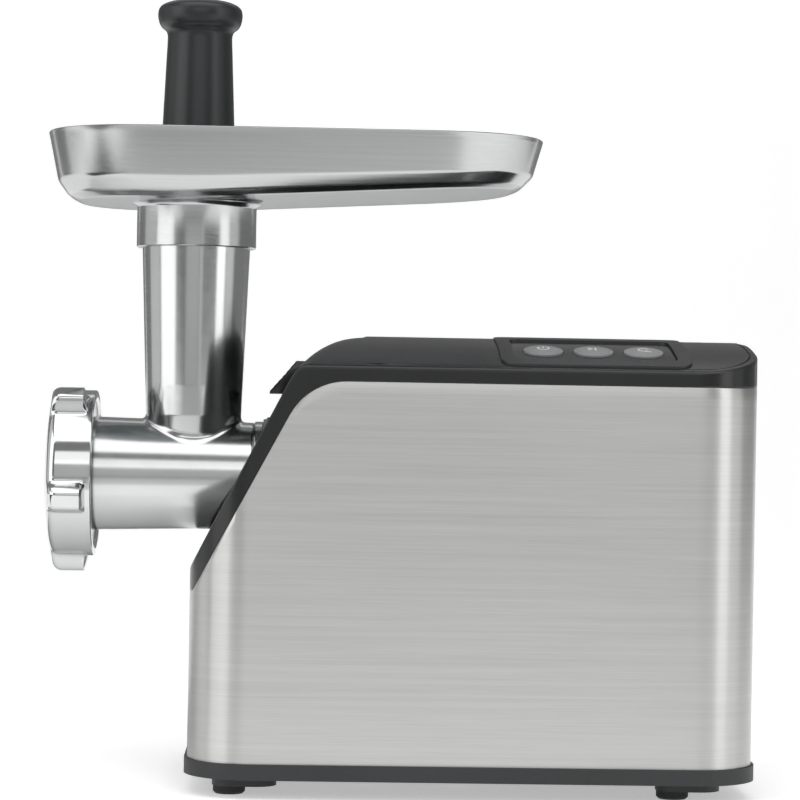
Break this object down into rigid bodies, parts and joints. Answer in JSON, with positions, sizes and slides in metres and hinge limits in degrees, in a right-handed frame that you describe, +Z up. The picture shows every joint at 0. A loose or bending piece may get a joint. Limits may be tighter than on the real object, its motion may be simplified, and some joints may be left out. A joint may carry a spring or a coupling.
{
  "type": "electric meat grinder",
  "caption": "Electric meat grinder: brushed steel housing with a crowned black top and push buttons, bayonet grinding head with feed tube, ring nut, tray and pusher",
  "frame": {"origin": "centre of the footprint of the whole grinder, on the surface that the rubber feet stand on", "axes": "+X from the grinding head to the rear of the housing, +Y to the side away from the buttons, +Z up"},
  "size_m": [0.3154, 0.1626, 0.3506],
  "materials": {
    "brushed_body_steel": "horizontal fine brushing",
    "cover_plastic": "satin black moulding",
    "base_plastic": "fine matte black moulding",
    "foot_rubber": "black rubber",
    "panel_plastic": "dark grey satin frame",
    "panel_insert": "glossy dark insert",
    "button_plastic": "mid grey satin",
    "lever_plastic": "gloss black",
    "pusher_plastic": "satin black",
    "head_metal": "polished casting",
    "ring_metal": "polished casting",
    "tray_metal": "polished and fine brushed sheet",
    "blade_steel": "ground steel",
    "fastener_steel": "zinc plated",
    "shaft_steel": "ground steel",
    "spring_steel": "drawn wire",
    "cast_housing": "die-cast, as cast",
    "gear_nylon": "natural nylon",
    "sintered_bronze": "sintered bronze",
    "copper_wire": "enamelled copper wire",
    "copper_bar": "bare copper",
    "core_steel": "stacked laminations",
    "brass_strip": "pressed brass",
    "carbon": "carbon graphite",
    "board_laminate": "green solder mask",
    "switch_plastic": "moulded black",
    "fan_plastic": "moulded dark grey",
    "washer_nylon": "white nylon"
  },
  "bodies": {
    "root": {"steel_body": "brushed_body_steel", "top_cover": "cover_plastic", "base_pan": "base_plastic", "rubber_feet": "foot_rubber", "base_screws": "fastener_steel", "cord_gland": "base_plastic", "panel_frame": "panel_plastic", "panel_plate": "panel_insert", "spring_power": "spring_steel", "spring_slow": "spring_steel", "spring_reverse": "spring_steel", "push_switches": "switch_plastic", "control_board": "board_laminate", "board_screws": "fastener_steel", "lever_pin": "shaft_steel", "lever_spring": "spring_steel", "head_socket": "cast_housing", "socket_screws": "fastener_steel", "gearbox_case": "cast_housing", "gearbox_cover": "cast_housing", "gearbox_screws": "fastener_steel", "shaft_bushes": "sintered_bronze", "stator_core": "core_steel", "field_coils": "copper_wire", "motor_bearings": "shaft_steel", "motor_front_bracket": "cast_housing", "motor_rear_bracket": "cast_housing", "motor_bolts": "fastener_steel", "chassis_screws": "fastener_steel", "brush_holders": "brass_strip", "carbon_brushes": "carbon", "brush_springs": "spring_steel"},
    "auger_drive": {"output_shaft": "shaft_steel", "output_gear": "gear_nylon", "drive_coupling": "shaft_steel", "auger": "head_metal", "auger_washer": "washer_nylon", "knife": "blade_steel"},
    "second_train": {"second_shaft": "shaft_steel", "second_gear": "gear_nylon", "second_pinion": "shaft_steel"},
    "first_train": {"first_shaft": "shaft_steel", "first_gear": "gear_nylon", "first_pinion": "shaft_steel"},
    "rotor": {"motor_shaft": "shaft_steel", "motor_pinion": "shaft_steel", "cooling_fan": "fan_plastic", "armature_core": "core_steel", "armature_winding": "copper_wire", "commutator": "copper_bar"},
    "head": {"head_barrel": "head_metal", "cutting_plate": "blade_steel"},
    "nut": {"ring_nut": "ring_metal"},
    "tray": {"food_tray": "tray_metal"},
    "plunger": {"pusher": "pusher_plastic"},
    "power_key": {"button_power": "button_plastic"},
    "slow_key": {"button_slow": "button_plastic"},
    "reverse_key": {"button_reverse": "button_plastic"},
    "latch": {"release_lever": "lever_plastic"}
  },
  "joints": [
    {"name": "auger_spin", "type": "hinge", "parent": "root", "child": "auger_drive", "pos_m": [0, 0, 0.136], "axis": [1, 0, 0], "continuous": true},
    {"name": "second_spin", "type": "hinge", "parent": "root", "child": "second_train", "pos_m": [0, 0.026, 0.09565], "axis": [1, 0, 0], "continuous": true},
    {"name": "first_spin", "type": "hinge", "parent": "root", "child": "first_train", "pos_m": [0, -0.01796, 0.08603], "axis": [1, 0, 0], "continuous": true},
    {"name": "motor_spin", "type": "hinge", "parent": "root", "child": "rotor", "pos_m": [0, 0, 0.062], "axis": [1, 0, 0], "continuous": true},
    {"name": "head_twist", "type": "hinge", "parent": "root", "child": "head", "pos_m": [-0.05975, 0, 0.136], "axis": [1, 0, 0], "range_deg": [0, 35]},
    {"name": "ring_nut_turn", "type": "hinge", "parent": "head", "child": "nut", "pos_m": [-0.14425, 0, 0.136], "axis": [1, 0, 0], "range_deg": [0, 360]},
    {"name": "tray_lift", "type": "slide", "parent": "head", "child": "tray", "axis": [0, 0, 1], "range_m": [0, 0.12]},
    {"name": "pusher_lift", "type": "slide", "parent": "head", "child": "plunger", "axis": [0, 0, 1], "range_m": [0, 0.13]},
    {"name": "power_press", "type": "slide", "parent": "root", "child": "power_key", "axis": [0, 0.234, -0.9722], "range_m": [0, 0.0022], "stiffness_N_per_m": 300, "springref_m": -0.003, "deforming": ["spring_power"]},
    {"name": "slow_press", "type": "slide", "parent": "root", "child": "slow_key", "axis": [0, 0.234, -0.9722], "range_m": [0, 0.0022], "stiffness_N_per_m": 300, "springref_m": -0.003, "deforming": ["spring_slow"]},
    {"name": "reverse_press", "type": "slide", "parent": "root", "child": "reverse_key", "axis": [0, 0.234, -0.9722], "range_m": [0, 0.0022], "stiffness_N_per_m": 300, "springref_m": -0.003, "deforming": ["spring_reverse"]},
    {"name": "lever_press", "type": "hinge", "parent": "root", "child": "latch", "pos_m": [-0.03475, 0, 0.1831], "axis": [0, -1, 0], "range_deg": [0, 5], "stiffness_Nm_per_rad": 0.6, "springref_deg": -8.59}
  ],
  "couplings": [
    {"joint": "second_spin", "follows": "auger_spin", "ratio": -3},
    {"joint": "first_spin", "follows": "auger_spin", "ratio": 12},
    {"joint": "motor_spin", "follows": "auger_spin", "ratio": -60}
  ]
}
